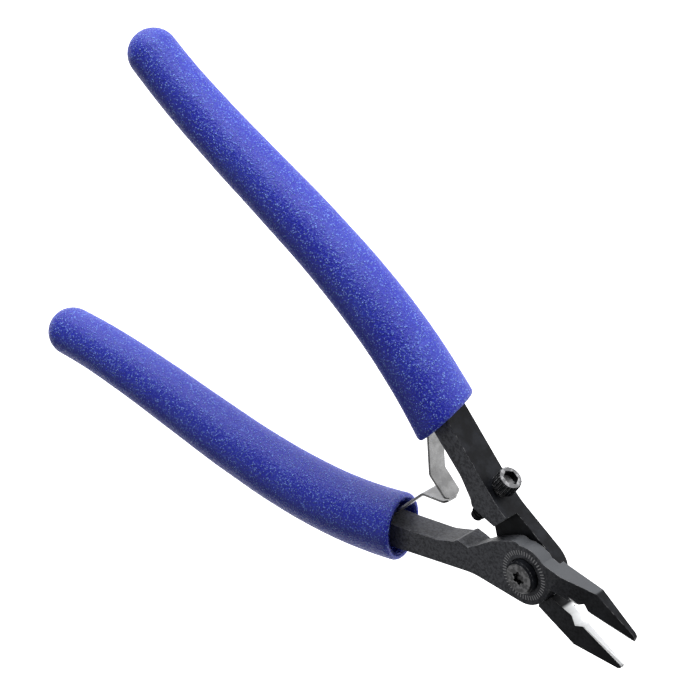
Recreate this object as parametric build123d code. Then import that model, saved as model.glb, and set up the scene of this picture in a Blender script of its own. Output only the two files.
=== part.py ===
from build123d import *
import os
from math import cos, pi, radians, sin

# Flush cutter for electronics work: two half-lapped steel levers on one shoulder
# screw, a pair of facing leaf springs, an adjustable stop screw and two foam grips.
#
# Millimetres.  The origin is on the pivot axis, in the back face of the joint.
# +X points to the jaw tips, +Y to the handle that carries the stop screw and +Z
# to the head of the pivot screw.  The jaws are open, as the springs hold them.
#
# Both levers are the same forging.  The front lever has its handle at -Y and its
# jaw at +Y; the rear lever is that shape turned over about the X axis, so most
# functions below build the front (lower) side and turned_over() makes the other.
# A function with a side argument takes -1 for the lower handle, 1 for the upper.

# ---- Driving dimensions -------------------------------------------------------
THICKNESS = 5.7            # levers, over both laps
MID = THICKNESS / 2        # height of the lap plane
LAP_GAP = 0.03             # each lap face stands this far off the lap plane
BOSS_R = 5.75              # round of the half-lapped boss
STEP_R = 5.9               # wall of the other jaw, concentric with the boss
HALF_OPEN = 7.3            # each jaw's angle from the closed line, degrees
CLEAR = 3.0                # how far a cutting shape runs past what it cuts
FAR = 60.0                 # beyond the levers' width on any side
EDGE_GAP = 0.02            # each cutting edge off the closed line

# Centre line of the lower handle: four control points from the mouth of the grip
HANDLE_CURVE = [(-27.4, -14.1), (-55.3, -30.8), (-84.0, -27.0), (-112.2, -35.4)]
TANG_WIDTH = 4.2           # bar inside the grip
TANG_START = 0.13          # where the plain bar takes over, share of the curve
TANG_END = 0.955

# Jaws, measured with the jaws closed on the X axis
TIP_X = 23.5
TIP_WIDTH = 1.0
NOTCH_LEFT = 10.9
NOTCH_APEX = (12.45, 1.3)
NOTCH_RIGHT = 13.8
JAW_ROOT = (6.6, 0.75)     # inner end of the jaw, where it leaves the boss
JAW_IN_BOSS = (4.5, 0.9)   # and where its edge line ends, inside the boss
BEVEL_SLOPE = 0.7          # rise of the bevel that leads to the cutting edge
BEVEL_START = 9.5          # where the bevel begins, at half thickness BEVEL_HALF
BEVEL_HALF = 1.1
BEVEL_FALL = 4.0           # the edge thins toward the tip, degrees

# Taper of the head: half thickness at two creases and at the tip.  The creases
# are square to a line turned CREASE_TURN degrees from the X axis.
CREASE_TURN = -16.0
TAPER_START = 5.0
HEEL_CREASE = 11.05
LAP_END = 2.6              # past the boss, the jaw also stands behind the lap plane
HEEL_BACK = 0.98
TIP_PLANE = 21.6
HEEL_HALF = 1.15
TIP_HALF = 0.4

# Pivot screw
SHOULDER_R = 2.0
SHOULDER_FIT = 0.025       # radial running clearance in the front lever
THREAD_R = 1.75
SCREW_HEAD_R = 3.1
SCREW_HEAD_TOP = THICKNESS + 1.5
SCREW_HEAD_CHAMFER = 0.35
SINK_R = 3.3
SINK_DEPTH = 0.4
HEAD_FIT = 0.05            # under the head, where the lever turns
STAR_R = 0.98
STAR_LOBE_R = 0.33
STAR_DEPTH = 1.0

# Stop screw: a small socket-head cap screw through the rear lever
STOP_HEAD_CENTRE = (-11.2, 13.4)
STOP_TILT = -14.9          # its axis, degrees from +Y toward +X
STOP_LENGTH = 13.6
STOP_HEAD_R = 2.325
STOP_HEAD_HEIGHT = 2.84
STOP_THREAD_R = 1.4
STOP_CORE_R = 1.15
STOP_PITCH = 0.64
STOP_HOLE_R = 1.44
STOP_SOCKET = 2.7          # across flats
STOP_SOCKET_DEPTH = 1.5
STOP_HEAD_CHAMFER = 0.2
KNURLS = 24
KNURL_DEPTH = 0.2
PELLET_R = 0.45
PELLET_FROM_TOP = 6.9

# Leaf springs
LEAF_THICK = 0.45
LEAF_WIDTH = 4.2
LEAF_HINGE = (-30.45, -13.3)
LEAF_KNEE = (-25.4, -2.5)
LEAF_END = (-20.4, -0.34)
LEAF_KNEE_R = 1.2
ROOT_GAP = 0.06            # between the fixed part and the moving leaf
ROOT_LENGTH = 8.0
RIVET_R = 0.75
RIVET_HEAD_R = 1.2
RIVET_HEAD = 0.45
RIVET_DEPTH = 1.6

# Foam grips
GRIP_MOUTH_R = 6.35
GRIP_END_R = 4.8
GRIP_SECTIONS = 7
GRIP_BORE_R = 5.2
GRIP_BORE_DEPTH = 14.5
MOUTH_SETBACK = 0.27
MOUTH_SLANT = 0.13         # setback of the mouth per millimetre toward the outer side
MOUTH_LEAN = 0.25          # and per millimetre toward the back of the tool

# Outline of the front lever: x, y and the rounding of each corner.  It runs from
# the underside of the boss along the handle, back along its inner side, round
# the stop pad and over the lap to the heel of the jaw.
OUTER_EDGE = [(1.23, -5.62, 0), (-9.4, -8.2, 14), (-26.6, -17.0, 40)]
INNER_EDGE = [
    (-27.2, -12.2, 40),
    (-19.0, -8.2, 9),
    (-15.5, -5.5, 0.7),
    (-14.8, -4.45, 0.5),
    (-12.3, -4.2, 0.9),
    (-8.5, 1.1, 5),
    (-4.3, 4.9, 1.2),
    (4.1, 5.3, 20),
]
HEEL = (13.4, 6.6, 0.4)
TIP_OUTER = (22.7, 4.35, 0.3)
LAP_WALL = ((-9.1, -4.25), (-6.6, -9.5))  # slanting wall at the handle end of the lap
LIP_Y = -4.25              # inner edge of the full-thickness bar, beside the lap
RELIEF_X = (-14.0, 1.5)    # extent of the relief along the tool
RELIEF_Y = 12.0


def opened(x, y):
    """A point of the closed upper jaw, swung open about the pivot."""
    turn = radians(HALF_OPEN)
    return (x * cos(turn) - y * sin(turn), x * sin(turn) + y * cos(turn))


def turned_over(shape):
    """The same piece on the other side: half a turn about the X axis."""
    return Pos(0, 0, THICKNESS) * Rot(180, 0, 0) * shape


def tang():
    """The plain bar inside the grip, square to the handle's curve."""
    path = Bezier(*HANDLE_CURVE).trim(TANG_START, TANG_END)
    start = Plane(origin=path @ 0, x_dir=(0, 0, 1), z_dir=path % 0)
    bar = sweep(start * Rectangle(THICKNESS, TANG_WIDTH), path=path)
    return Pos(0, 0, MID) * bar


def lever_outline():
    """Plan view of the front lever, boss included."""
    curve = Bezier(*HANDLE_CURVE)
    root = Vector(curve @ TANG_START)
    side = Vector(curve % TANG_START).rotate(Axis.Z, 90) * (TANG_WIDTH / 2)
    jaw = [
        (*opened(TIP_X, TIP_WIDTH), 0.2),
        (*opened(TIP_X, EDGE_GAP), 0),
        (*opened(NOTCH_RIGHT, EDGE_GAP), 0),
        (*opened(*NOTCH_APEX), 0.15),
        (*opened(NOTCH_LEFT, EDGE_GAP + 0.1), 0.5),
        (*opened(*JAW_ROOT), 0.6),
        (*opened(*JAW_IN_BOSS), 0),
        (0, 0, 0),
    ]
    tang_end = [(edge.X, edge.Y, 0) for edge in (root + side, root - side)]
    corners = [*OUTER_EDGE, *tang_end, *INNER_EDGE, HEEL, TIP_OUTER, *jaw]
    points = [(x, y) for x, y, radius in corners]
    radii = [radius for x, y, radius in corners]
    return make_face(FilletPolyline(*points, radius=radii, close=True)) + Circle(BOSS_R)


def head_taper():
    """Side view of the lever: full thickness, then slopes down to a thin tip."""
    profile = Polyline(
        (-FAR, -MID),
        (0, -MID),
        (0, LAP_GAP),
        (LAP_END, LAP_GAP),
        (LAP_END, -HEEL_BACK),
        (HEEL_CREASE, -HEEL_BACK),
        (TIP_PLANE, -TIP_HALF),
        (TIP_PLANE + CLEAR, -TIP_HALF),
        (TIP_PLANE + CLEAR, TIP_HALF),
        (TIP_PLANE, TIP_HALF),
        (HEEL_CREASE, HEEL_HALF),
        (TAPER_START, MID),
        (-FAR, MID),
        close=True,
    )
    side_view = Plane.XZ * make_face(profile)
    return Pos(0, 0, MID) * Rot(0, 0, CREASE_TURN) * extrude(side_view, FAR, both=True)


def edge_bevels():
    """Wedges that thin the jaw toward its cutting edge, in front and behind."""
    wedge = make_face(Polyline((-1, 0), (0, 0), (MID, BEVEL_SLOPE * MID), (-1, MID), close=True))
    length = TIP_X - BEVEL_START + CLEAR
    tilted = Pos(BEVEL_START, 0, BEVEL_HALF) * Rot(0, BEVEL_FALL, 0)
    front = tilted * extrude(Plane.YZ * wedge, length)
    pair = Pos(0, 0, MID) * (front + mirror(front, Plane.XY))
    return Rot(0, 0, HALF_OPEN) * pair


def lap_relief():
    """Room for the rear lever's lap, behind the lap plane."""
    block = make_face(
        Polyline(
            LAP_WALL[1],
            LAP_WALL[0],
            (RELIEF_X[0], LIP_Y),
            (RELIEF_X[0], RELIEF_Y),
            (RELIEF_X[1], RELIEF_Y),
            (RELIEF_X[1], LAP_WALL[1][1]),
            close=True,
        )
    )
    return extrude(block + Circle(STEP_R), MID + LAP_GAP)


def lever():
    """One lever, as it lies in front: handle at -Y, jaw at +Y, lap in front."""
    blank = extrude(lever_outline(), THICKNESS) & head_taper()
    return blank - edge_bevels() - lap_relief() + tang() - rivet_pin()


def front_lever():
    bore = Cylinder(SHOULDER_R + SHOULDER_FIT, 3 * THICKNESS)
    sink = Pos(0, 0, THICKNESS) * Cylinder(SINK_R, 2 * SINK_DEPTH)
    return lever() - bore - sink


def rear_lever():
    thread_hole = Cylinder(THREAD_R, 3 * THICKNESS)
    stop_hole = stop_axis() * Cylinder(STOP_HOLE_R, 2 * STOP_LENGTH)
    return turned_over(lever()) - thread_hole - stop_hole


def pivot_screw():
    """Shoulder screw: threaded in the rear lever, the front lever turns on it."""
    head_base = THICKNESS - SINK_DEPTH + HEAD_FIT
    head_height = SCREW_HEAD_TOP - head_base
    upright = (Align.CENTER, Align.CENTER, Align.MIN)
    thread = Cylinder(THREAD_R, MID - LAP_GAP, align=upright)
    shoulder_base = Pos(0, 0, MID - LAP_GAP)
    shoulder = shoulder_base * Cylinder(SHOULDER_R, head_base - MID + LAP_GAP, align=upright)
    head = Cylinder(SCREW_HEAD_R, head_height, align=upright)
    rim = head.edges().group_by(Axis.Z)[-1]
    head = Pos(0, 0, head_base) * chamfer(rim, SCREW_HEAD_CHAMFER)
    lobes = PolarLocations(STAR_R, 6) * Circle(STAR_LOBE_R)
    star = Circle(STAR_R) + lobes
    recess = Pos(0, 0, SCREW_HEAD_TOP - STAR_DEPTH) * extrude(star, 2 * STAR_DEPTH)
    return thread + shoulder + head - recess


def stop_axis():
    """Top of the stop screw's head, with Z out along the screw."""
    top = Pos(STOP_HEAD_CENTRE[0], STOP_HEAD_CENTRE[1], MID)
    return top * Rot(0, 0, STOP_TILT) * Rot(-90, 0, 0)


def stop_screw():
    """Knurled socket-head cap screw; its rounded end is the jaws' stop."""
    knurl = []
    for tooth in range(KNURLS):
        for half, radius in ((0, STOP_HEAD_R), (0.5, STOP_HEAD_R - KNURL_DEPTH)):
            angle = 2 * pi * (tooth + half) / KNURLS
            knurl.append((radius * cos(angle), radius * sin(angle)))
    head = extrude(make_face(Polyline(*knurl, close=True)), -STOP_HEAD_HEIGHT)
    crown = Pos(0, 0, -STOP_HEAD_HEIGHT / 2) * Cylinder(STOP_HEAD_R, STOP_HEAD_HEIGHT)
    crown = chamfer(crown.edges().group_by(Axis.Z)[-1], STOP_HEAD_CHAMFER)
    socket = extrude(RegularPolygon(STOP_SOCKET / 2, 6, major_radius=False), -STOP_SOCKET_DEPTH)
    profile = [(0, -STOP_SOCKET_DEPTH - 0.3), (STOP_CORE_R, -STOP_SOCKET_DEPTH - 0.3)]
    profile.append((STOP_CORE_R, -STOP_HEAD_HEIGHT))
    turns = int((STOP_LENGTH - STOP_HEAD_HEIGHT - 1.0) / STOP_PITCH)
    for turn in range(turns):
        crest = -STOP_HEAD_HEIGHT - (turn + 0.5) * STOP_PITCH
        profile.append((STOP_THREAD_R, crest + STOP_PITCH / 8))
        profile.append((STOP_THREAD_R, crest - STOP_PITCH / 8))
        profile.append((STOP_CORE_R, crest - STOP_PITCH / 2))
    profile.append((STOP_CORE_R, 0.4 - STOP_LENGTH))
    profile.append((STOP_CORE_R - 0.4, -STOP_LENGTH))
    profile.append((0, -STOP_LENGTH))
    half_section = Plane.XZ * make_face(Polyline(*profile, close=True))
    shank = revolve(half_section, Axis.Z)
    screw = (head & crown) - socket + shank
    return stop_axis() * screw - pellet_rod(2 * STOP_THREAD_R)


def pellet_rod(length):
    """A rod from the stop screw's axis out through one side of its thread."""
    side = stop_axis() * Pos(0, 0, -PELLET_FROM_TOP) * Rot(0, 90, 0)
    return side * Cylinder(PELLET_R, length, align=(Align.CENTER, Align.CENTER, Align.MIN))


def stop_screw_lock_pellet():
    """Nylon pellet set into the thread; it grips the hole and holds the setting."""
    return pellet_rod(STOP_THREAD_R - 0.1)


def bar_face():
    """Lower handle's inner face under the spring: its direction and outward side."""
    start = Vector(Bezier(*HANDLE_CURVE) @ TANG_START)
    side = Vector(Bezier(*HANDLE_CURVE) % TANG_START).rotate(Axis.Z, -90) * (TANG_WIDTH / 2)
    along = (Vector(INNER_EDGE[0][0], INNER_EDGE[0][1]) - (start + side)).normalized()
    return start + side, along, along.rotate(Axis.Z, 90)


def strip(path):
    """Spring strip of constant section on a plan-view centre line."""
    return Pos(0, 0, MID) * extrude(trace(path, LEAF_THICK), LEAF_WIDTH / 2, both=True)


def spring_leaf(side):
    """The moving length of a leaf spring, from its bend at the bar to its end."""
    path = FilletPolyline(LEAF_HINGE, LEAF_KNEE, LEAF_END, radius=LEAF_KNEE_R)
    leaf = strip(path)
    return leaf if side < 0 else turned_over(leaf)


def root_line():
    """Centre line of the riveted part, lying on the bar, ending short of the bend."""
    corner, along, outward = bar_face()
    lift = outward * (LEAF_THICK / 2)
    reach = (Vector(*LEAF_HINGE) - corner).dot(along)
    stop = corner + along * (reach - LEAF_THICK - ROOT_GAP) + lift
    return stop - along * ROOT_LENGTH, stop


def rivet_seat():
    """Top of the riveted strip, with Z square into the lower bar."""
    start, stop = root_line()
    outward = bar_face()[2]
    top = (start + stop) * 0.5 + outward * (LEAF_THICK / 2)
    return Plane(origin=top + Vector(0, 0, MID), z_dir=-outward)


def rivet_pin():
    """Shank of the spring rivet, which also cuts its own hole."""
    return rivet_seat() * extrude(Circle(RIVET_R), LEAF_THICK + RIVET_DEPTH)


def spring_rivet(side):
    head = rivet_seat() * extrude(Circle(RIVET_HEAD_R), -RIVET_HEAD)
    rivet = rivet_pin() + head
    return rivet if side < 0 else turned_over(rivet)


def spring_root(side):
    """The part of a leaf spring that is riveted to the bar."""
    root = strip(Line(*root_line())) - rivet_pin()
    return root if side < 0 else turned_over(root)


def mouth_plane(side):
    """Slanting cut at the mouth of the lower grip; Z points out of the mouth."""
    curve = Bezier(*HANDLE_CURVE)
    along = Vector(curve % 0)
    outer = along.rotate(Axis.Z, 90)
    outward = outer * MOUTH_SLANT + Vector(0, 0, side * MOUTH_LEAN) - along
    origin = curve @ 0 + along * MOUTH_SETBACK + Vector(0, 0, MID)
    return Plane(origin=origin, z_dir=outward.normalized())


def grip_core(side):
    """Outer shape of the lower grip: a curved, tapered tube with a round end."""
    curve = Bezier(*HANDLE_CURVE)
    sections = []
    for index in range(GRIP_SECTIONS):
        share = index / (GRIP_SECTIONS - 1)
        radius = GRIP_MOUTH_R + (GRIP_END_R - GRIP_MOUTH_R) * share
        sections.append(Plane(origin=curve @ share, z_dir=curve % share) * Circle(radius))
    end = curve @ 1
    start = Plane(origin=curve @ 0, z_dir=-(curve % 0))
    sleeve = start * extrude(Circle(GRIP_MOUTH_R), GRIP_MOUTH_R / 2)
    tube = Pos(0, 0, MID) * (loft(sections) + Pos(end.X, end.Y, 0) * Sphere(GRIP_END_R) + sleeve)
    waste = mouth_plane(side) * extrude(Circle(2 * GRIP_MOUTH_R), GRIP_MOUTH_R)
    return tube - waste


def grip_bore():
    """Round mouth of the grip, wider than the bar, where the spring comes out."""
    curve = Bezier(*HANDLE_CURVE)
    mouth = curve @ 0 - (curve % 0) * CLEAR
    inner = curve @ TANG_START
    bore = Plane(origin=mouth + Vector(0, 0, MID), z_dir=(inner - mouth).normalized())
    return bore * extrude(Circle(GRIP_BORE_R), GRIP_BORE_DEPTH + CLEAR)


def grip(side):
    lower = grip_core(side) - grip_bore() - tang()
    return lower if side < 0 else turned_over(lower)


PIECES = {
    "rear_lever": rear_lever(),
    "front_lever": front_lever(),
    "pivot_screw": pivot_screw(),
    "stop_screw": stop_screw(),
    "stop_screw_lock_pellet": stop_screw_lock_pellet(),
    "upper_spring_root": spring_root(1),
    "lower_spring_root": spring_root(-1),
    "upper_spring_leaf": spring_leaf(1),
    "lower_spring_leaf": spring_leaf(-1),
    "upper_spring_rivet": spring_rivet(1),
    "lower_spring_rivet": spring_rivet(-1),
    "upper_grip": grip(1),
    "lower_grip": grip(-1),
}

os.makedirs("parts", exist_ok=True)
for name, piece in PIECES.items():
    export_step(piece, f"parts/{name}.step")
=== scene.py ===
import math

import bpy
from mathutils import Matrix, Vector, noise


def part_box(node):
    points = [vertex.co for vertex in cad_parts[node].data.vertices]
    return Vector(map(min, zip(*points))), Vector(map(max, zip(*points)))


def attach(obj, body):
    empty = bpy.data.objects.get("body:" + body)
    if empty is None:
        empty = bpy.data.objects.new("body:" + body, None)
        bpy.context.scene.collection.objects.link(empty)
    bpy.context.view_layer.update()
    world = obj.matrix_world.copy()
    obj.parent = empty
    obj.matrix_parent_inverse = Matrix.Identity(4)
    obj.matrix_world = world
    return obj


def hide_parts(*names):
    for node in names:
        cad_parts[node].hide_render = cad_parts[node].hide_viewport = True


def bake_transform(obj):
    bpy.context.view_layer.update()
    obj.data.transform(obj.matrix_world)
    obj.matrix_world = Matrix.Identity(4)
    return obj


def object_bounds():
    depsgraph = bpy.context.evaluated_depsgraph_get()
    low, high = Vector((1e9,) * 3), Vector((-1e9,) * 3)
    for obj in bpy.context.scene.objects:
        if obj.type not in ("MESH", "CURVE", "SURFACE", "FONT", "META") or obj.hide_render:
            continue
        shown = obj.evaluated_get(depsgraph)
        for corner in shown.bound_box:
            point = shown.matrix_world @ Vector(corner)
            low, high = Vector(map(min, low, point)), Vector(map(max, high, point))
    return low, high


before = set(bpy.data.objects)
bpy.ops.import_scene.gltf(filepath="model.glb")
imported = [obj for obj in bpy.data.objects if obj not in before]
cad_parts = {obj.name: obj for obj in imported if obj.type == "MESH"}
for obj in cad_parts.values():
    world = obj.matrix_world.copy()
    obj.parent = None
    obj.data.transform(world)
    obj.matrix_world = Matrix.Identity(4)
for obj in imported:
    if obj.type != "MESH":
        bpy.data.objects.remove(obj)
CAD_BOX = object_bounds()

# Looks of the flush cutter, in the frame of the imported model: the pivot axis is Z
# through the origin, +X points to the jaw tips and +Y to the upper handle.  Lengths
# are in metres; only the plan-view points of the handle and leaves and the swells of
# the foam are in millimetres.  Grips and leaves are made for the lower handle, and
# turned_over() gives the upper one.
MM = 0.001

# ---- Sizes shared with the model ----------------------------------------------
HANDLE_CURVE = [(-27.4, -14.1), (-55.3, -30.8), (-84.0, -27.0), (-112.2, -35.4)]
MID = (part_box("front_lever")[1][2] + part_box("rear_lever")[0][2]) / 2  # lap plane
STOP_TILT = -14.9          # stop screw's axis, degrees from +Y toward +X
GRIP_MOUTH_R = 6.35 * MM
GRIP_END_R = 4.8 * MM
GRIP_BORE_R = 5.2 * MM
GRIP_BORE_DEPTH = 14.0 * MM
MOUTH_SETBACK = 0.27 * MM
MOUTH_SLANT = 0.13         # setback per metre toward the outer side
MOUTH_LEAN = 0.25          # and per metre toward the back of the tool
LEAF_ROOT = (-37.4, -16.5)
LEAF_HINGE = (-30.45, -13.3)
LEAF_KNEE = (-25.4, -2.5)
LEAF_END = (-20.4, -0.34)
LEAF_HALF_WIDTH = 2.1 * MM
LEAF_THICK = 0.45 * MM

# ---- Sizes of the visible shapes only -------------------------------------------
MOUTH_REACH = 11.0 * MM    # how far in the slant of the mouth is still felt
MOUTH_FADE = 1.5           # power by which it dies away
RIM_DEPTH = 1.1 * MM       # rounding of the grip's rim
FOAM_SWELLS = [(9.0, 0.07), (0.75, 0.022), (0.40, 0.020)]  # width and height of each
LEAF_KNEE_R = 0.9 * MM
LEAF_END_R = 0.9 * MM      # rounded corners of the free end
LEAF_TRIM = 0.09 * MM      # broken edges of the strip
HINGE_SPREAD = 0.6 * MM    # reach of a span each side of the hinge; the span is worked out but not used
FLOOR_HALF = 3.0

# Mesh density
GRIP_AROUND = 150
BORE_STEPS = 12
RIM_STEPS = 12
SKIN_STEPS = 340
END_STEPS = 24
CURVE_STEPS = 40           # for the length of the handle's curve
BEND_STEPS = 8             # in each bend of a leaf
LEAF_STEP = 0.4 * MM

# ---- Look ---------------------------------------------------------------------
FOAM_DEEP = (0.0008, 0.006, 0.27)
# pale blue, mostly painted glints on the foam cells, a little random tone in patches
FOAM_TONE_AND_GLINT = (0.13, 0.22, 0.60)
FOAM_SHEEN = (0.55, 0.70, 1.0, 1.0)
FOAM_CELL = 0.46 * MM
FOAM_PATCH = 7.0 * MM
FOAM_RELIEF = 0.26 * MM
STEEL_BLACK = (0.0025, 0.0028, 0.0040)
STEEL_GREY = (0.010, 0.011, 0.014)
# grey painted on lever faces as if they caught the light
STEEL_LIT_FACE = (0.100, 0.103, 0.115)
# lighter grey painted on the head's flank where light falls on it
STEEL_LIT_FLANK = (0.062, 0.065, 0.071)
# bare steel of rubbed edges and marks, also painted on screw head tops as a highlight
STEEL_WORN_AND_LIT = (0.42, 0.42, 0.43)
STEEL_RELIEF = 0.012 * MM
# near white painted on the cutting faces as a highlight
CUT_HIGHLIGHT = (0.80, 0.81, 0.82)
EDGE_ROUND = 0.14 * MM     # softening of the black pieces' edges
SPRING_DARK = (0.16, 0.16, 0.16)
SPRING_LIGHT = (0.23, 0.23, 0.23)
SPRING_RELIEF = 0.006 * MM
SPRING_ROUND = 0.08 * MM
NYLON_DARK = (0.05, 0.14, 0.42)
NYLON_LIGHT = (0.08, 0.2, 0.5)
FLOOR_WHITE = (0.93, 0.93, 0.93)
FLOOR_PALE = (0.95, 0.95, 0.95)
FLOOR_GLOW = 1.6

# Ring of marks round the pivot
MARK_COUNT = 48
MARK_WIDTH = 0.30          # share of the pitch
MARK_TURN = 10.0           # where the ring starts, radians
MARK_RING = (4.0 * MM, 4.8 * MM)
MARK_FADE = 0.05 * MM

# Where a lever's painted light and shade fade in: distances from the lap plane, then along X
LIT_LAP_FADE = (0.3 * MM, 1.2 * MM)
LIT_FACE_FADE = (14.0 * MM, -6.0 * MM)     # front and back faces, painted lighter as if lit, less so toward the jaws
LIT_HANDLE_FADE = (6.0 * MM, -2.0 * MM)    # inner side of the handle, painted lighter as if lit
LIT_FLANK_START = (-6.0 * MM, -4.0 * MM)    # flank of the head, painted lighter as if lit
LIT_FLANK_STOP = (13.7 * MM, 13.1 * MM)
HIGHLIGHT_START = (8.2 * MM, 9.2 * MM)      # cutting faces painted near white as a highlight, past the boss

CAMERA_PLACE = (0.19657, 0.42083, 0.41770)
CAMERA_FORWARD = (-0.3910, -0.6468, -0.6548)
CAMERA_UP = (-0.6047, 0.7169, -0.3471)
CAMERA_LENS = 180.0
SENSOR = 36.0
WORLD_STRENGTH = 0.20
LIGHTS = {
    "key": {"place": (-0.35, 0.55, 0.04), "size": (0.8, 0.10), "power": 6.5},
    "top": {"place": (-0.25, -0.20, 0.60), "size": (0.5, 0.5), "power": 0.9},
}


# ---- Small node helpers -------------------------------------------------------
def new_material(name):
    material = bpy.data.materials.new(name)
    material.use_nodes = True
    nodes = material.node_tree.nodes
    nodes.clear()
    output = nodes.new("ShaderNodeOutputMaterial")
    shader = nodes.new("ShaderNodeBsdfPrincipled")
    material.node_tree.links.new(shader.outputs["BSDF"], output.inputs["Surface"])
    return material, shader


class Graph:
    """Adds linked nodes to one material; the later methods return output sockets."""

    def __init__(self, material):
        self.tree = material.node_tree
        self.place = self.node("ShaderNodeTexCoord").outputs["Object"]

    def node(self, kind):
        return self.tree.nodes.new(kind)

    def link(self, source, socket):
        self.tree.links.new(source, socket)

    def feed(self, value, socket):
        if isinstance(value, bpy.types.NodeSocket):
            self.link(value, socket)
        else:
            socket.default_value = value

    def noise(self, size, detail=2.0, roughness=0.5, stretch=(1, 1, 1)):
        """Noise whose features are about size metres across."""
        mapping = self.node("ShaderNodeMapping")
        mapping.inputs["Scale"].default_value = stretch
        self.link(self.place, mapping.inputs["Vector"])
        texture = self.node("ShaderNodeTexNoise")
        texture.inputs["Scale"].default_value = 1.0 / size
        texture.inputs["Detail"].default_value = detail
        texture.inputs["Roughness"].default_value = roughness
        self.link(mapping.outputs["Vector"], texture.inputs["Vector"])
        return texture.outputs["Fac"]

    def cells(self, size):
        """Distance to the nearest of scattered points about size metres apart."""
        texture = self.node("ShaderNodeTexVoronoi")
        texture.inputs["Scale"].default_value = 1.0 / size
        self.link(self.place, texture.inputs["Vector"])
        return texture.outputs["Distance"]

    def ramp(self, value, low, high, out_low=0.0, out_high=1.0):
        node = self.node("ShaderNodeMapRange")
        node.interpolation_type = "SMOOTHSTEP"
        self.link(value, node.inputs["Value"])
        node.inputs["From Min"].default_value = low
        node.inputs["From Max"].default_value = high
        node.inputs["To Min"].default_value = out_low
        node.inputs["To Max"].default_value = out_high
        return node.outputs["Result"]

    def math(self, kind, first, second=0.0):
        node = self.node("ShaderNodeMath")
        node.operation = kind
        self.feed(first, node.inputs[0])
        self.feed(second, node.inputs[1])
        return node.outputs[0]

    def product(self, first, *others):
        for value in others:
            first = self.math("MULTIPLY", first, value)
        return first

    def dot(self, first, second):
        node = self.node("ShaderNodeVectorMath")
        node.operation = "DOT_PRODUCT"
        self.feed(first, node.inputs[0])
        self.feed(second, node.inputs[1])
        return node.outputs["Value"]

    def along(self, axis):
        """Place on the piece along X, Y or Z, in metres."""
        split = self.node("ShaderNodeSeparateXYZ")
        self.link(self.place, split.inputs["Vector"])
        return split.outputs[axis]

    def blend(self, share, first, second):
        node = self.node("ShaderNodeMix")
        node.data_type = "RGBA"
        colour_in = [socket for socket in node.inputs if socket.type == "RGBA"]
        self.feed(share, node.inputs[0])
        for value, socket in zip((first, second), colour_in):
            self.feed((*value, 1.0) if isinstance(value, tuple) else value, socket)
        return next(socket for socket in node.outputs if socket.type == "RGBA")

    def bump(self, height, distance, strength=1.0, normal=None):
        node = self.node("ShaderNodeBump")
        node.inputs["Distance"].default_value = distance
        node.inputs["Strength"].default_value = strength
        self.link(height, node.inputs["Height"])
        if normal is not None:
            self.link(normal, node.inputs["Normal"])
        return node.outputs["Normal"]

    def soft_normal(self, radius):
        """The normal with sharp edges rounded over a radius."""
        bevel = self.node("ShaderNodeBevel")
        bevel.inputs["Radius"].default_value = radius
        bevel.samples = 8
        return bevel.outputs["Normal"]

    def edge_share(self, soft_normal):
        """1 along sharp edges and 0 on flat faces."""
        true_normal = self.node("ShaderNodeNewGeometry").outputs["True Normal"]
        return self.ramp(self.dot(soft_normal, true_normal), 0.995, 0.80)


# ---- Materials ----------------------------------------------------------------
def foam_material():
    """Closed-cell foam: a deep blue skin, peppered with fine paler cells that are painted glints
    of foam bumps catching the light, over faint random patches of paler tone.
    """
    material, shader = new_material("foam")
    graph = Graph(material)
    grain = graph.noise(FOAM_CELL, detail=2.0, roughness=0.75)
    pores = graph.cells(FOAM_CELL)
    patches = graph.noise(FOAM_PATCH, detail=2.0)
    # Painted highlight: pale cells standing for foam bumps catching the light; the same spots
    # also raise the bump.
    relief_and_glint_spots = graph.product(graph.ramp(pores, 0.42, 0.14), graph.ramp(grain, 0.36, 0.52))
    glint_speckle = graph.math("ADD", relief_and_glint_spots, graph.ramp(grain, 0.56, 0.68, 0.0, 0.5))
    shift = graph.ramp(patches, 0.35, 0.70, 0.0, 0.04)
    share = graph.math("MINIMUM", graph.math("ADD", glint_speckle, shift), 1.0)
    graph.link(graph.blend(share, FOAM_DEEP, FOAM_TONE_AND_GLINT), shader.inputs["Base Color"])
    height = graph.math("ADD", graph.product(grain, 0.8), graph.product(relief_and_glint_spots, 0.5))
    graph.link(graph.bump(height, FOAM_RELIEF), shader.inputs["Normal"])
    graph.link(graph.ramp(grain, 0.3, 0.7, 0.42, 0.62), shader.inputs["Roughness"])
    shader.inputs["Specular IOR Level"].default_value = 0.4
    shader.inputs["Sheen Weight"].default_value = 0.03
    shader.inputs["Sheen Roughness"].default_value = 0.45
    shader.inputs["Sheen Tint"].default_value = FOAM_SHEEN
    return material


def index_marks(graph):
    """A ring of short plain marks etched round the pivot on the front face."""
    x = graph.along("X")
    y = graph.along("Y")
    radius = graph.math("SQRT", graph.math("ADD", graph.product(x, x), graph.product(y, y)))
    angle = graph.math("ADD", graph.math("ARCTAN2", y, x), MARK_TURN)
    phase = graph.math("FRACT", graph.product(angle, MARK_COUNT / math.tau))
    tick = graph.math("LESS_THAN", phase, MARK_WIDTH)
    inner, outer = MARK_RING
    inside = graph.ramp(radius, inner - MARK_FADE, inner)
    ring = graph.product(inside, graph.ramp(radius, outer + MARK_FADE, outer))
    front = graph.math("GREATER_THAN", graph.along("Z"), 2 * MID - 0.02 * MM)
    return graph.product(tick, ring, front)


def facing(graph, direction, low=0.90, high=0.97):
    """1 where the surface looks along the given direction of the piece."""
    normal = graph.node("ShaderNodeTexCoord").outputs["Normal"]
    return graph.ramp(graph.dot(normal, Vector(direction).normalized()), low, high)


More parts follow.
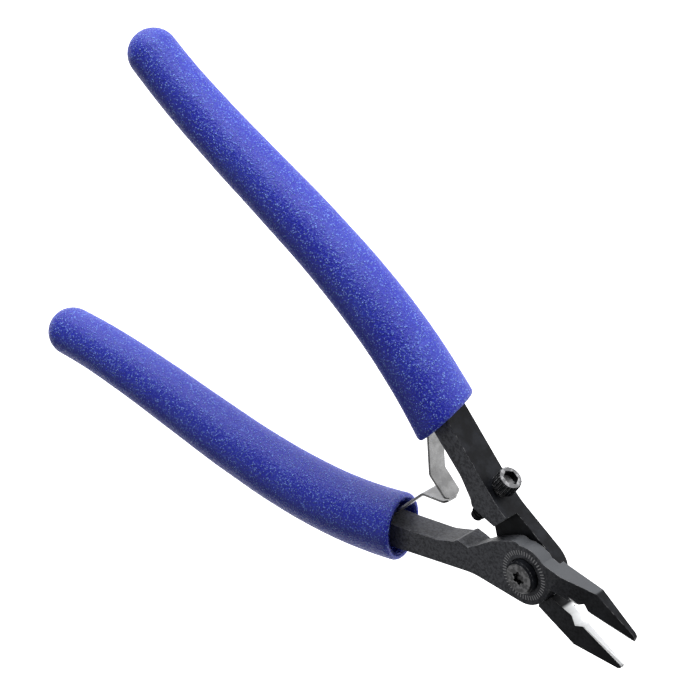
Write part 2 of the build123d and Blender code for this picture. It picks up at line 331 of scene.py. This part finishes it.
def lever_painted_light(graph, colour, mottle, side):
    """Painted light and shade on a lever, set by which way each face looks: front and back faces
    and the handle's inner side painted lighter than the black outer sides, the head's flank
    painted lighter, and the cutting faces painted near white as a highlight.

    side is -1 for the front lever, whose handle is at -Y, and 1 for the rear one.
    """
    x = graph.along("X")
    z = graph.along("Z")
    near, far = LIT_LAP_FADE
    # Painted light: faces looking front and back, and the handle's inner side, lighter grey than
    # the black outer sides, fading out toward the jaws.
    front = graph.product(facing(graph, (0, 0, 1)), graph.ramp(z, MID + near, MID + far))
    back = graph.product(facing(graph, (0, 0, -1)), graph.ramp(z, MID - near, MID - far))
    faces = graph.product(graph.math("MAXIMUM", front, back), graph.ramp(x, *LIT_FACE_FADE, 0.2, 1.0))
    inner = graph.product(facing(graph, (-0.5, -side, 0), 0.75, 0.9), graph.ramp(x, *LIT_HANDLE_FADE))
    grey = graph.math("MAXIMUM", faces, graph.product(inner, 0.8))
    patchy_light = graph.product(grey, graph.ramp(mottle, 0.34, 0.62, 0.35, 1.0))
    colour = graph.blend(patchy_light, colour, STEEL_LIT_FACE)
    # Painted light: the head's flank, facing one side, painted lighter grey.
    head = graph.product(graph.ramp(x, *LIT_FLANK_START), graph.ramp(x, *LIT_FLANK_STOP))
    lit_flank = graph.product(facing(graph, (-0.1, -side, 0), 0.70, 0.90), head)
    colour = graph.blend(lit_flank, colour, STEEL_LIT_FLANK)
    # Painted highlight: the ground cutting faces, bare steel, painted near white as if catching
    # the light.
    cut = graph.product(facing(graph, (0, side, 0), 0.35, 0.60), graph.ramp(x, *HIGHLIGHT_START))
    return graph.blend(cut, colour, CUT_HIGHLIGHT)


def black_steel(name, wear=0.8, side=0, marks=False, rough=0.42, crown=None):
    """Black-oxide steel: near-black and satin, with edges rubbed to bare grey.

    side gives a lever its painted light and shade, marks adds the ring round the pivot, and crown
    is the direction of a screw head's top, which is painted lighter all over: a painted
    highlight, patchy with rubbed wear.
    """
    material, shader = new_material(name)
    graph = Graph(material)
    soft_normal = graph.soft_normal(EDGE_ROUND)
    mottle = graph.noise(2.4 * MM, detail=4.0, roughness=0.6)
    grain = graph.noise(0.30 * MM, detail=2.0, roughness=0.6)
    lines = graph.noise(0.22 * MM, detail=2.0, stretch=(0.12, 1.0, 1.0))
    rubbed = graph.ramp(graph.noise(0.9 * MM, detail=3.0), 0.42, 0.62)
    colour = graph.blend(graph.ramp(mottle, 0.38, 0.68), STEEL_BLACK, STEEL_GREY)
    # A lever gets painted light and shade, by which way each face looks.
    if side:
        specks = graph.noise(0.5 * MM, detail=3.0, roughness=0.7)
        colour = lever_painted_light(graph, colour, specks, side)
    worn = graph.product(graph.edge_share(soft_normal), rubbed, wear)
    colour = graph.blend(worn, colour, STEEL_WORN_AND_LIT)
    if marks:
        colour = graph.blend(graph.product(index_marks(graph), 0.75), colour, STEEL_WORN_AND_LIT)
    # Painted highlight: a screw head's top painted lighter all over, patchy with the rubbed
    # noise.
    if crown:
        lit_top = graph.product(facing(graph, crown), graph.ramp(rubbed, 0.0, 1.0, 0.25, 0.6))
        colour = graph.blend(lit_top, colour, STEEL_WORN_AND_LIT)
    graph.link(colour, shader.inputs["Base Color"])
    streaks = graph.math("ADD", graph.product(lines, 0.5), graph.product(grain, 0.5))
    roughness = graph.ramp(streaks, 0.3, 0.7, rough - 0.07, rough + 0.12)
    graph.link(roughness, shader.inputs["Roughness"])
    graph.link(graph.bump(streaks, STEEL_RELIEF, 0.6, soft_normal), shader.inputs["Normal"])
    shader.inputs["Specular IOR Level"].default_value = 0.10
    return material


def spring_steel():
    """Bright rolled strip with fine lines along its length."""
    material, shader = new_material("spring_steel")
    graph = Graph(material)
    lines = graph.noise(0.10 * MM, detail=3.0, stretch=(1.0, 0.12, 1.0))
    haze = graph.noise(2.0 * MM, detail=3.0)
    colour = graph.blend(graph.ramp(haze, 0.35, 0.7), SPRING_DARK, SPRING_LIGHT)
    graph.link(colour, shader.inputs["Base Color"])
    graph.link(graph.ramp(lines, 0.3, 0.7, 0.26, 0.42), shader.inputs["Roughness"])
    normal = graph.bump(lines, SPRING_RELIEF, 0.5, graph.soft_normal(SPRING_ROUND))
    graph.link(normal, shader.inputs["Normal"])
    shader.inputs["Metallic"].default_value = 1.0
    return material


def nylon():
    """Slightly mottled blue plastic."""
    material, shader = new_material("nylon")
    graph = Graph(material)
    colour = graph.blend(graph.noise(0.3 * MM), NYLON_DARK, NYLON_LIGHT)
    graph.link(colour, shader.inputs["Base Color"])
    shader.inputs["Roughness"].default_value = 0.5
    return material


def floor_material():
    """Plain white paper, a little luminous so that shadows stay faint."""
    material, shader = new_material("floor")
    graph = Graph(material)
    colour = graph.blend(graph.noise(0.05), FLOOR_WHITE, FLOOR_PALE)
    graph.link(colour, shader.inputs["Base Color"])
    shader.inputs["Roughness"].default_value = 0.9
    shader.inputs["Emission Color"].default_value = (1, 1, 1, 1)
    shader.inputs["Emission Strength"].default_value = FLOOR_GLOW
    return material


# ---- Shapes -------------------------------------------------------------------
def add_mesh(name, points, faces, material, smooth=True):
    mesh = bpy.data.meshes.new(name)
    mesh.from_pydata(points, [], faces)
    mesh.validate()
    mesh.update()
    mesh.polygons.foreach_set("use_smooth", [smooth] * len(mesh.polygons))
    mesh.materials.append(material)
    piece = bpy.data.objects.new(name, mesh)
    bpy.context.scene.collection.objects.link(piece)
    return piece


def rings_to_faces(ring_count, ring_size):
    """Quads between each ring of points and the next."""
    faces = []
    for ring in range(ring_count - 1):
        for index in range(ring_size):
            beside = (index + 1) % ring_size
            faces.append((
                ring * ring_size + index,
                (ring + 1) * ring_size + index,
                (ring + 1) * ring_size + beside,
                ring * ring_size + beside,
            ))
    return faces


def handle_point(share):
    """Centre of the lower handle and its direction, at a share of its curve."""
    p0, p1, p2, p3 = (Vector((x * MM, y * MM, MID)) for x, y in HANDLE_CURVE)
    rest = 1 - share
    point = rest**3 * p0 + 3 * rest**2 * share * p1 + 3 * rest * share**2 * p2 + share**3 * p3
    slope = 3 * rest**2 * (p1 - p0) + 6 * rest * share * (p2 - p1) + 3 * share**2 * (p3 - p2)
    return point, slope.normalized()


def curve_length():
    points = [handle_point(index / CURVE_STEPS)[0] for index in range(CURVE_STEPS + 1)]
    return sum((after - before).length for before, after in zip(points, points[1:]))


CURVE_LENGTH = curve_length()


def turned_over(points):
    """The same points on the upper side: half a turn about the X axis."""
    return [(x, -y, 2 * MID - z) for x, y, z in points]


def foam_swell(point):
    """Small unevenness of a moulded foam surface, in metres."""
    swell = 0.0
    for width, height in FOAM_SWELLS:
        swell += noise.noise(Vector(point) / (width * MM)) * height * MM
    return swell


def grip_profile():
    """Rings of the grip, from the bottom of its bore round the rim to its closed end.

    Each ring is its share of the handle's curve, a step further along, its radius
    and whether it is on the outer skin.
    """
    rings = []
    for index in range(BORE_STEPS + 1):
        share = index / BORE_STEPS
        rings.append((0.0, GRIP_BORE_DEPTH * (1 - share), GRIP_BORE_R, False))
    middle = (GRIP_MOUTH_R + GRIP_BORE_R) / 2
    half = (GRIP_MOUTH_R - GRIP_BORE_R) / 2
    for index in range(1, RIM_STEPS):
        turn = math.pi * index / RIM_STEPS
        depth = RIM_DEPTH * (1 - math.sin(turn))
        rings.append((0.0, depth, middle - half * math.cos(turn), True))
    first = RIM_DEPTH / CURVE_LENGTH
    for index in range(SKIN_STEPS + 1):
        share = first + (1 - first) * index / SKIN_STEPS
        radius = GRIP_MOUTH_R + (GRIP_END_R - GRIP_MOUTH_R) * share
        rings.append((share, 0.0, radius, True))
    for index in range(1, END_STEPS):
        turn = math.pi / 2 * index / END_STEPS
        rings.append((1.0, GRIP_END_R * math.sin(turn), GRIP_END_R * math.cos(turn), True))
    return rings


def grip_ring(ring, lean):
    """Points round one ring; near the mouth they are set back by its slant."""
    share, step, radius, skin = ring
    centre, along = handle_point(share)
    centre = centre + along * step
    side = Vector((-along.y, along.x, 0.0))
    inside = min(max(share * CURVE_LENGTH, step) / MOUTH_REACH, 1.0)
    points = []
    for index in range(GRIP_AROUND):
        turn = math.tau * index / GRIP_AROUND
        out = side * math.cos(turn) + Vector((0, 0, 1)) * math.sin(turn)
        slant = MOUTH_SLANT * math.cos(turn) + lean * math.sin(turn)
        cut = MOUTH_SETBACK + radius * slant
        point = centre + out * radius + along * cut * (1 - inside) ** MOUTH_FADE
        points.append(point + out * (foam_swell(point) if skin else 0.0))
    return points


def grip(name, body, upper, material):
    """Foam tube on a curved bar: open round mouth, tapering skin, closed round end."""
    rings = grip_profile()
    lean = MOUTH_LEAN if upper else -MOUTH_LEAN
    points = []
    for ring in rings:
        points += grip_ring(ring, lean)
    faces = rings_to_faces(len(rings), GRIP_AROUND)
    start, along = handle_point(0.0)
    bore_end = start + along * GRIP_BORE_DEPTH
    end, along = handle_point(1.0)
    points += [bore_end, end + along * GRIP_END_R]
    last = (len(rings) - 1) * GRIP_AROUND
    for index in range(GRIP_AROUND):
        beside = (index + 1) % GRIP_AROUND
        faces.append((beside, len(points) - 2, index))
        faces.append((last + index, len(points) - 1, last + beside))
    points = [tuple(point) for point in points]
    if upper:
        points = turned_over(points)
    piece = add_mesh(name + "_foam", points, faces, material)
    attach(piece, body)
    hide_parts(name)


def rounded_path(corners, radius, step):
    """Evenly stepped points along straight runs whose corners are rounded."""
    runs = [Vector((x * MM, y * MM, 0.0)) for x, y in corners]
    path = [runs[0]]
    for before, corner, after in zip(runs, runs[1:], runs[2:]):
        back = (before - corner).normalized()
        ahead = (after - corner).normalized()
        half = back.angle(ahead) / 2
        reach = radius / math.tan(half)
        centre = corner + (back + ahead).normalized() * (radius / math.sin(half))
        first = corner + back * reach - centre
        sweep = math.pi - 2 * half
        way = 1 if first.cross(corner + ahead * reach - centre).z > 0 else -1
        for index in range(BEND_STEPS + 1):
            turn = way * sweep * index / BEND_STEPS
            path.append(centre + Matrix.Rotation(turn, 3, "Z") @ first)
    path.append(runs[-1])
    fine = [path[0]]
    for point in path[1:]:
        gap = point - fine[-1]
        pieces = max(1, round(gap.length / step))
        start = fine[-1]
        fine += [start + gap * (index + 1) / pieces for index in range(pieces)]
    return fine


def leaf_spring(name, upper, material):
    """One continuous bent strip, from its rivet inside the grip to its free end."""
    corners = [LEAF_ROOT, LEAF_HINGE, LEAF_KNEE, LEAF_END]
    path = rounded_path(corners, LEAF_KNEE_R, LEAF_STEP)
    half_thick = LEAF_THICK / 2
    inset = 1 - LEAF_TRIM / half_thick
    points = []
    for index, point in enumerate(path):
        ahead = (path[min(index + 1, len(path) - 1)] - path[max(index - 1, 0)]).normalized()
        side = Vector((-ahead.y, ahead.x, 0.0))
        narrow = max(0.0, LEAF_END_R - (path[-1] - point).length)
        wide = LEAF_HALF_WIDTH - (LEAF_END_R - math.sqrt(max(LEAF_END_R**2 - narrow**2, 0.0)))
        flat = wide - LEAF_TRIM
        section = [
            (-1, flat),
            (-1, -flat),
            (-inset, -wide),
            (inset, -wide),
            (1, -flat),
            (1, flat),
            (inset, wide),
            (-inset, wide),
        ]
        for across, up in section:
            place = point + side * (across * half_thick)
            points.append((place.x, place.y, MID + up))
    ring = len(section)
    count = len(path)
    faces = rings_to_faces(count, ring)
    faces += [tuple(range(ring)), tuple(range((count - 1) * ring, count * ring))[::-1]]
    hinge = Vector((LEAF_HINGE[0] * MM, LEAF_HINGE[1] * MM, MID))
    chord = Vector((*LEAF_KNEE, 0)) - Vector((*LEAF_ROOT, 0))
    toward = chord.normalized() * HINGE_SPREAD
    span = [tuple(hinge - toward), tuple(hinge + toward)]
    if upper:
        points = turned_over(points)
        span = turned_over(span)
    piece = add_mesh(name, points, faces, material, smooth=False)
    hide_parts(name + "_root", name + "_leaf")
    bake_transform(piece)


# ---- Stage --------------------------------------------------------------------
def add_camera():
    forward = Vector(CAMERA_FORWARD).normalized()
    right = forward.cross(Vector(CAMERA_UP)).normalized()
    up = right.cross(forward)
    data = bpy.data.cameras.new("camera")
    data.lens = CAMERA_LENS
    data.sensor_width = SENSOR
    data.clip_start = 0.01
    data.clip_end = 20.0
    camera = bpy.data.objects.new("camera", data)
    axes = Matrix((right, up, -forward)).transposed().to_4x4()
    camera.matrix_world = Matrix.Translation(CAMERA_PLACE) @ axes
    bpy.context.scene.collection.objects.link(camera)
    bpy.context.scene.camera = camera


def add_softbox(name, target, place, size, power):
    data = bpy.data.lights.new(name, "AREA")
    data.shape = "RECTANGLE"
    data.size, data.size_y = size
    data.energy = power
    light = bpy.data.objects.new(name, data)
    direction = target - Vector(place)
    light.location = place
    light.rotation_euler = direction.to_track_quat("-Z", "Y").to_euler()
    bpy.context.scene.collection.objects.link(light)


def add_studio():
    low = CAD_BOX[0].z
    signs = [(-1, -1), (1, -1), (1, 1), (-1, 1)]
    corners = [(x * FLOOR_HALF, y * FLOOR_HALF, low) for x, y in signs]
    floor = add_mesh("floor", corners, [(0, 1, 2, 3)], floor_material(), smooth=False)
    middle = (CAD_BOX[0] + CAD_BOX[1]) / 2
    for name, light in LIGHTS.items():
        add_softbox(name, middle, **light)
    world = bpy.data.worlds.new("studio")
    world.use_nodes = True
    background = world.node_tree.nodes["Background"]
    background.inputs["Color"].default_value = (1.0, 1.0, 1.0, 1.0)
    background.inputs["Strength"].default_value = WORLD_STRENGTH
    bpy.context.scene.world = world
    bpy.context.scene.view_settings.view_transform = "Standard"


def paint(node, material):
    """Give a CAD node, shown as it is, its material."""
    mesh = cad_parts[node].data
    mesh.materials.clear()
    mesh.materials.append(material)


# ---- Build --------------------------------------------------------------------
add_camera()
add_studio()
foam = foam_material()
spring = spring_steel()
stop_turn = math.radians(-STOP_TILT)
stop_crown = (math.sin(stop_turn), math.cos(stop_turn), 0)
paint("front_lever", black_steel("front_steel", side=-1, marks=True))
paint("rear_lever", black_steel("rear_steel", side=1))
paint("pivot_screw", black_steel("pivot_steel", wear=0.9, rough=0.36, crown=(0, 0, 1)))
paint("stop_screw", black_steel("stop_steel", wear=1.0, rough=0.36, crown=stop_crown))
paint("stop_screw_lock_pellet", nylon())
paint("upper_spring_rivet", spring)
paint("lower_spring_rivet", spring)
grip("upper_grip", "rear_lever", True, foam)
grip("lower_grip", "front_lever", False, foam)
leaf_spring("upper_spring", True, spring)
leaf_spring("lower_spring", False, spring)
